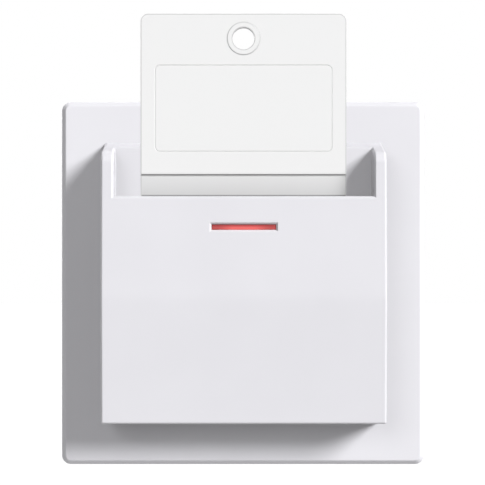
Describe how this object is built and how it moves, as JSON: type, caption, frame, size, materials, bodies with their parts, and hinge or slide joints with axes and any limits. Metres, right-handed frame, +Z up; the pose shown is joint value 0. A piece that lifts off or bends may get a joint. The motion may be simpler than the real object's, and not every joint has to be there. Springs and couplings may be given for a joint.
{
  "type": "hotel key card switch",
  "caption": "Wall-mounted key card switch: square cover frame, open-topped card pocket with a red indicator bar, a key tag in it, and a rear switch mechanism with wire terminals and claws.",
  "frame": {"origin": "middle of the cover frame, on the wall", "axes": "+Z up, +X to the right as seen from the room, -Y out of the wall towards the viewer"},
  "size_m": [0.081, 0.0449, 0.0996],
  "materials": {
    "frame_plastic": "white moulded plastic, satin gloss",
    "holder_plastic": "white moulded plastic, satin gloss",
    "tag_plastic": "white moulded plastic, fine satin",
    "red_lens": "red tinted clear plastic",
    "clear_plastic": "clear moulded plastic",
    "plate_steel": "stamped zinc plated steel",
    "base_plastic": "pale grey moulded insulating plastic",
    "carrier_plastic": "white moulded plastic, matt",
    "lever_plastic": "white moulded acetal, matt",
    "screw_steel": "zinc plated turned steel",
    "terminal_brass": "machined brass",
    "contact_copper": "stamped copper alloy strip",
    "contact_silver": "silver alloy contact",
    "spring_steel": "drawn spring steel wire",
    "circuit_board": "green printed circuit board",
    "led_resin": "red tinted resin",
    "resistor_body": "beige lacquer with tinned leads",
    "pin_tin": "tinned wire"
  },
  "bodies": {
    "root": {"cover_frame": "frame_plastic", "card_holder": "holder_plastic", "indicator_lens": "red_lens", "light_guide": "clear_plastic", "support_plate": "plate_steel", "mechanism_base": "base_plastic", "mechanism_cover": "base_plastic", "assembly_screws": "screw_steel", "line_terminal": "terminal_brass", "card_in_terminal": "terminal_brass", "card_out_terminal": "terminal_brass", "lamp_terminal": "terminal_brass", "terminal_screws": "screw_steel", "common_contact": "contact_copper", "front_contact": "contact_copper", "rear_contact": "contact_copper", "lamp_contact": "contact_copper", "contact_rivets": "contact_silver", "return_spring": "spring_steel", "carrier": "carrier_plastic", "lever_pin": "screw_steel", "lamp_board": "circuit_board", "lamp_led": "led_resin", "lamp_resistor": "resistor_body", "lamp_pins": "pin_tin"},
    "key_tag": {"key_tag": "tag_plastic"},
    "card_lever": {"card_lever": "lever_plastic"},
    "plunger": {"plunger": "lever_plastic"},
    "contact_blade": {"contact_blade": "contact_copper", "blade_rivet": "contact_silver"},
    "claw_left": {"claw_left": "plate_steel"},
    "claw_right": {"claw_right": "plate_steel"},
    "claw_screw_left": {"claw_screw_left": "screw_steel"},
    "claw_screw_right": {"claw_screw_right": "screw_steel"}
  },
  "joints": [
    {"name": "tag_pull", "type": "slide", "parent": "root", "child": "key_tag", "axis": [0, 0, 1], "range_m": [0, 0.05]},
    {"name": "lever_swing", "type": "hinge", "parent": "root", "child": "card_lever", "pos_m": [0, -0.009, 0.006], "axis": [1, 0, 0], "range_deg": [-8.6, 0]},
    {"name": "plunger_push", "type": "slide", "parent": "root", "child": "plunger", "axis": [0, -1, 0], "range_m": [0, 0.00175]},
    {"name": "blade_swing", "type": "hinge", "parent": "root", "child": "contact_blade", "pos_m": [-0.009, 0.007, -0.006], "axis": [0, 0, 1], "range_deg": [-11, 0], "deforming": ["return_spring"]},
    {"name": "claw_left_travel", "type": "slide", "parent": "root", "child": "claw_left", "axis": [0, -1, 0], "range_m": [0, 0.009]},
    {"name": "claw_right_travel", "type": "slide", "parent": "root", "child": "claw_right", "axis": [0, -1, 0], "range_m": [0, 0.009]},
    {"name": "claw_screw_left_turn", "type": "hinge", "parent": "root", "child": "claw_screw_left", "pos_m": [-0.0232, -0.0013, 0], "axis": [0, 1, 0], "range_deg": [0, 4320]},
    {"name": "claw_screw_right_turn", "type": "hinge", "parent": "root", "child": "claw_screw_right", "pos_m": [0.0232, -0.0013, 0], "axis": [0, 1, 0], "range_deg": [0, 4320]}
  ],
  "couplings": [
    {"joint": "lever_swing", "follows": "tag_pull", "rad_per_m": -3},
    {"joint": "plunger_push", "follows": "tag_pull", "ratio": 0.035},
    {"joint": "blade_swing", "follows": "tag_pull", "rad_per_m": -3.839},
    {"joint": "claw_screw_left_turn", "follows": "claw_left_travel", "rad_per_m": 8377.6},
    {"joint": "claw_screw_right_turn", "follows": "claw_right_travel", "rad_per_m": 8377.6}
  ]
}
